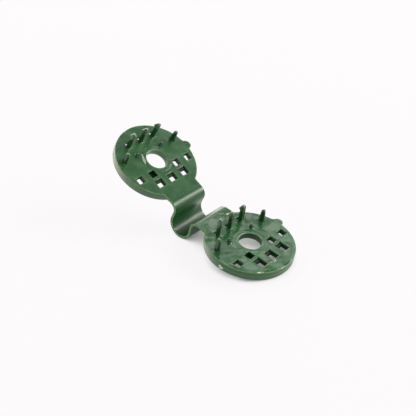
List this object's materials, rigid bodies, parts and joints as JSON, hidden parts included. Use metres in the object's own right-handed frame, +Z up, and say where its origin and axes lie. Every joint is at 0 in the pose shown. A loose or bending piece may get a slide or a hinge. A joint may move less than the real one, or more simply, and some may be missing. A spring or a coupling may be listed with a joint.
{
  "type": "shade net clip",
  "caption": "Folding net clip: spiked round plates joined by a strap that bends over a support wire and closes with the spikes in matching sockets.",
  "frame": {"origin": "below the middle of the clip's box, on the table that it lies on", "axes": "+X along the clip towards the disc that lies on the table, +Y along the hinge lines towards the pry tabs, +Z up"},
  "size_m": [0.0847, 0.0382, 0.0379],
  "materials": {
    "green_polypropylene": "semi-gloss moulded plastic"
  },
  "bodies": {
    "right_half": {"right_face_plate": "green_polypropylene", "right_skirt": "green_polypropylene", "right_eyelet": "green_polypropylene", "right_socket_frame": "green_polypropylene", "right_pry_tab": "green_polypropylene", "right_strap_arm": "green_polypropylene", "right_tall_spike_1": "green_polypropylene", "right_tall_spike_2": "green_polypropylene", "right_tall_spike_3": "green_polypropylene", "right_medium_spike_1": "green_polypropylene", "right_medium_spike_2": "green_polypropylene", "right_short_spike_1": "green_polypropylene", "right_short_spike_2": "green_polypropylene"},
    "cradle": {"cradle": "green_polypropylene"},
    "left_half": {"left_face_plate": "green_polypropylene", "left_skirt": "green_polypropylene", "left_eyelet": "green_polypropylene", "left_socket_frame": "green_polypropylene", "left_pry_tab": "green_polypropylene", "left_strap_arm": "green_polypropylene", "left_tall_spike_1": "green_polypropylene", "left_tall_spike_2": "green_polypropylene", "left_tall_spike_3": "green_polypropylene", "left_medium_spike_1": "green_polypropylene", "left_medium_spike_2": "green_polypropylene", "left_short_spike_1": "green_polypropylene", "left_short_spike_2": "green_polypropylene"}
  },
  "joints": [
    {"name": "right_fold", "type": "hinge", "parent": "right_half", "child": "cradle", "pos_m": [0.00112, -0.0011, 0.00621], "axis": [0, 1, 0], "range_deg": [-11, 79], "stiffness_Nm_per_rad": 0.04},
    {"name": "left_fold", "type": "hinge", "parent": "cradle", "child": "left_half", "pos_m": [-0.00785, -0.0011, 0.00962], "axis": [0, 1, 0], "range_deg": [-11, 79], "stiffness_Nm_per_rad": 0.04}
  ],
  "couplings": [
    {"joint": "left_fold", "follows": "right_fold", "ratio": 1}
  ]
}
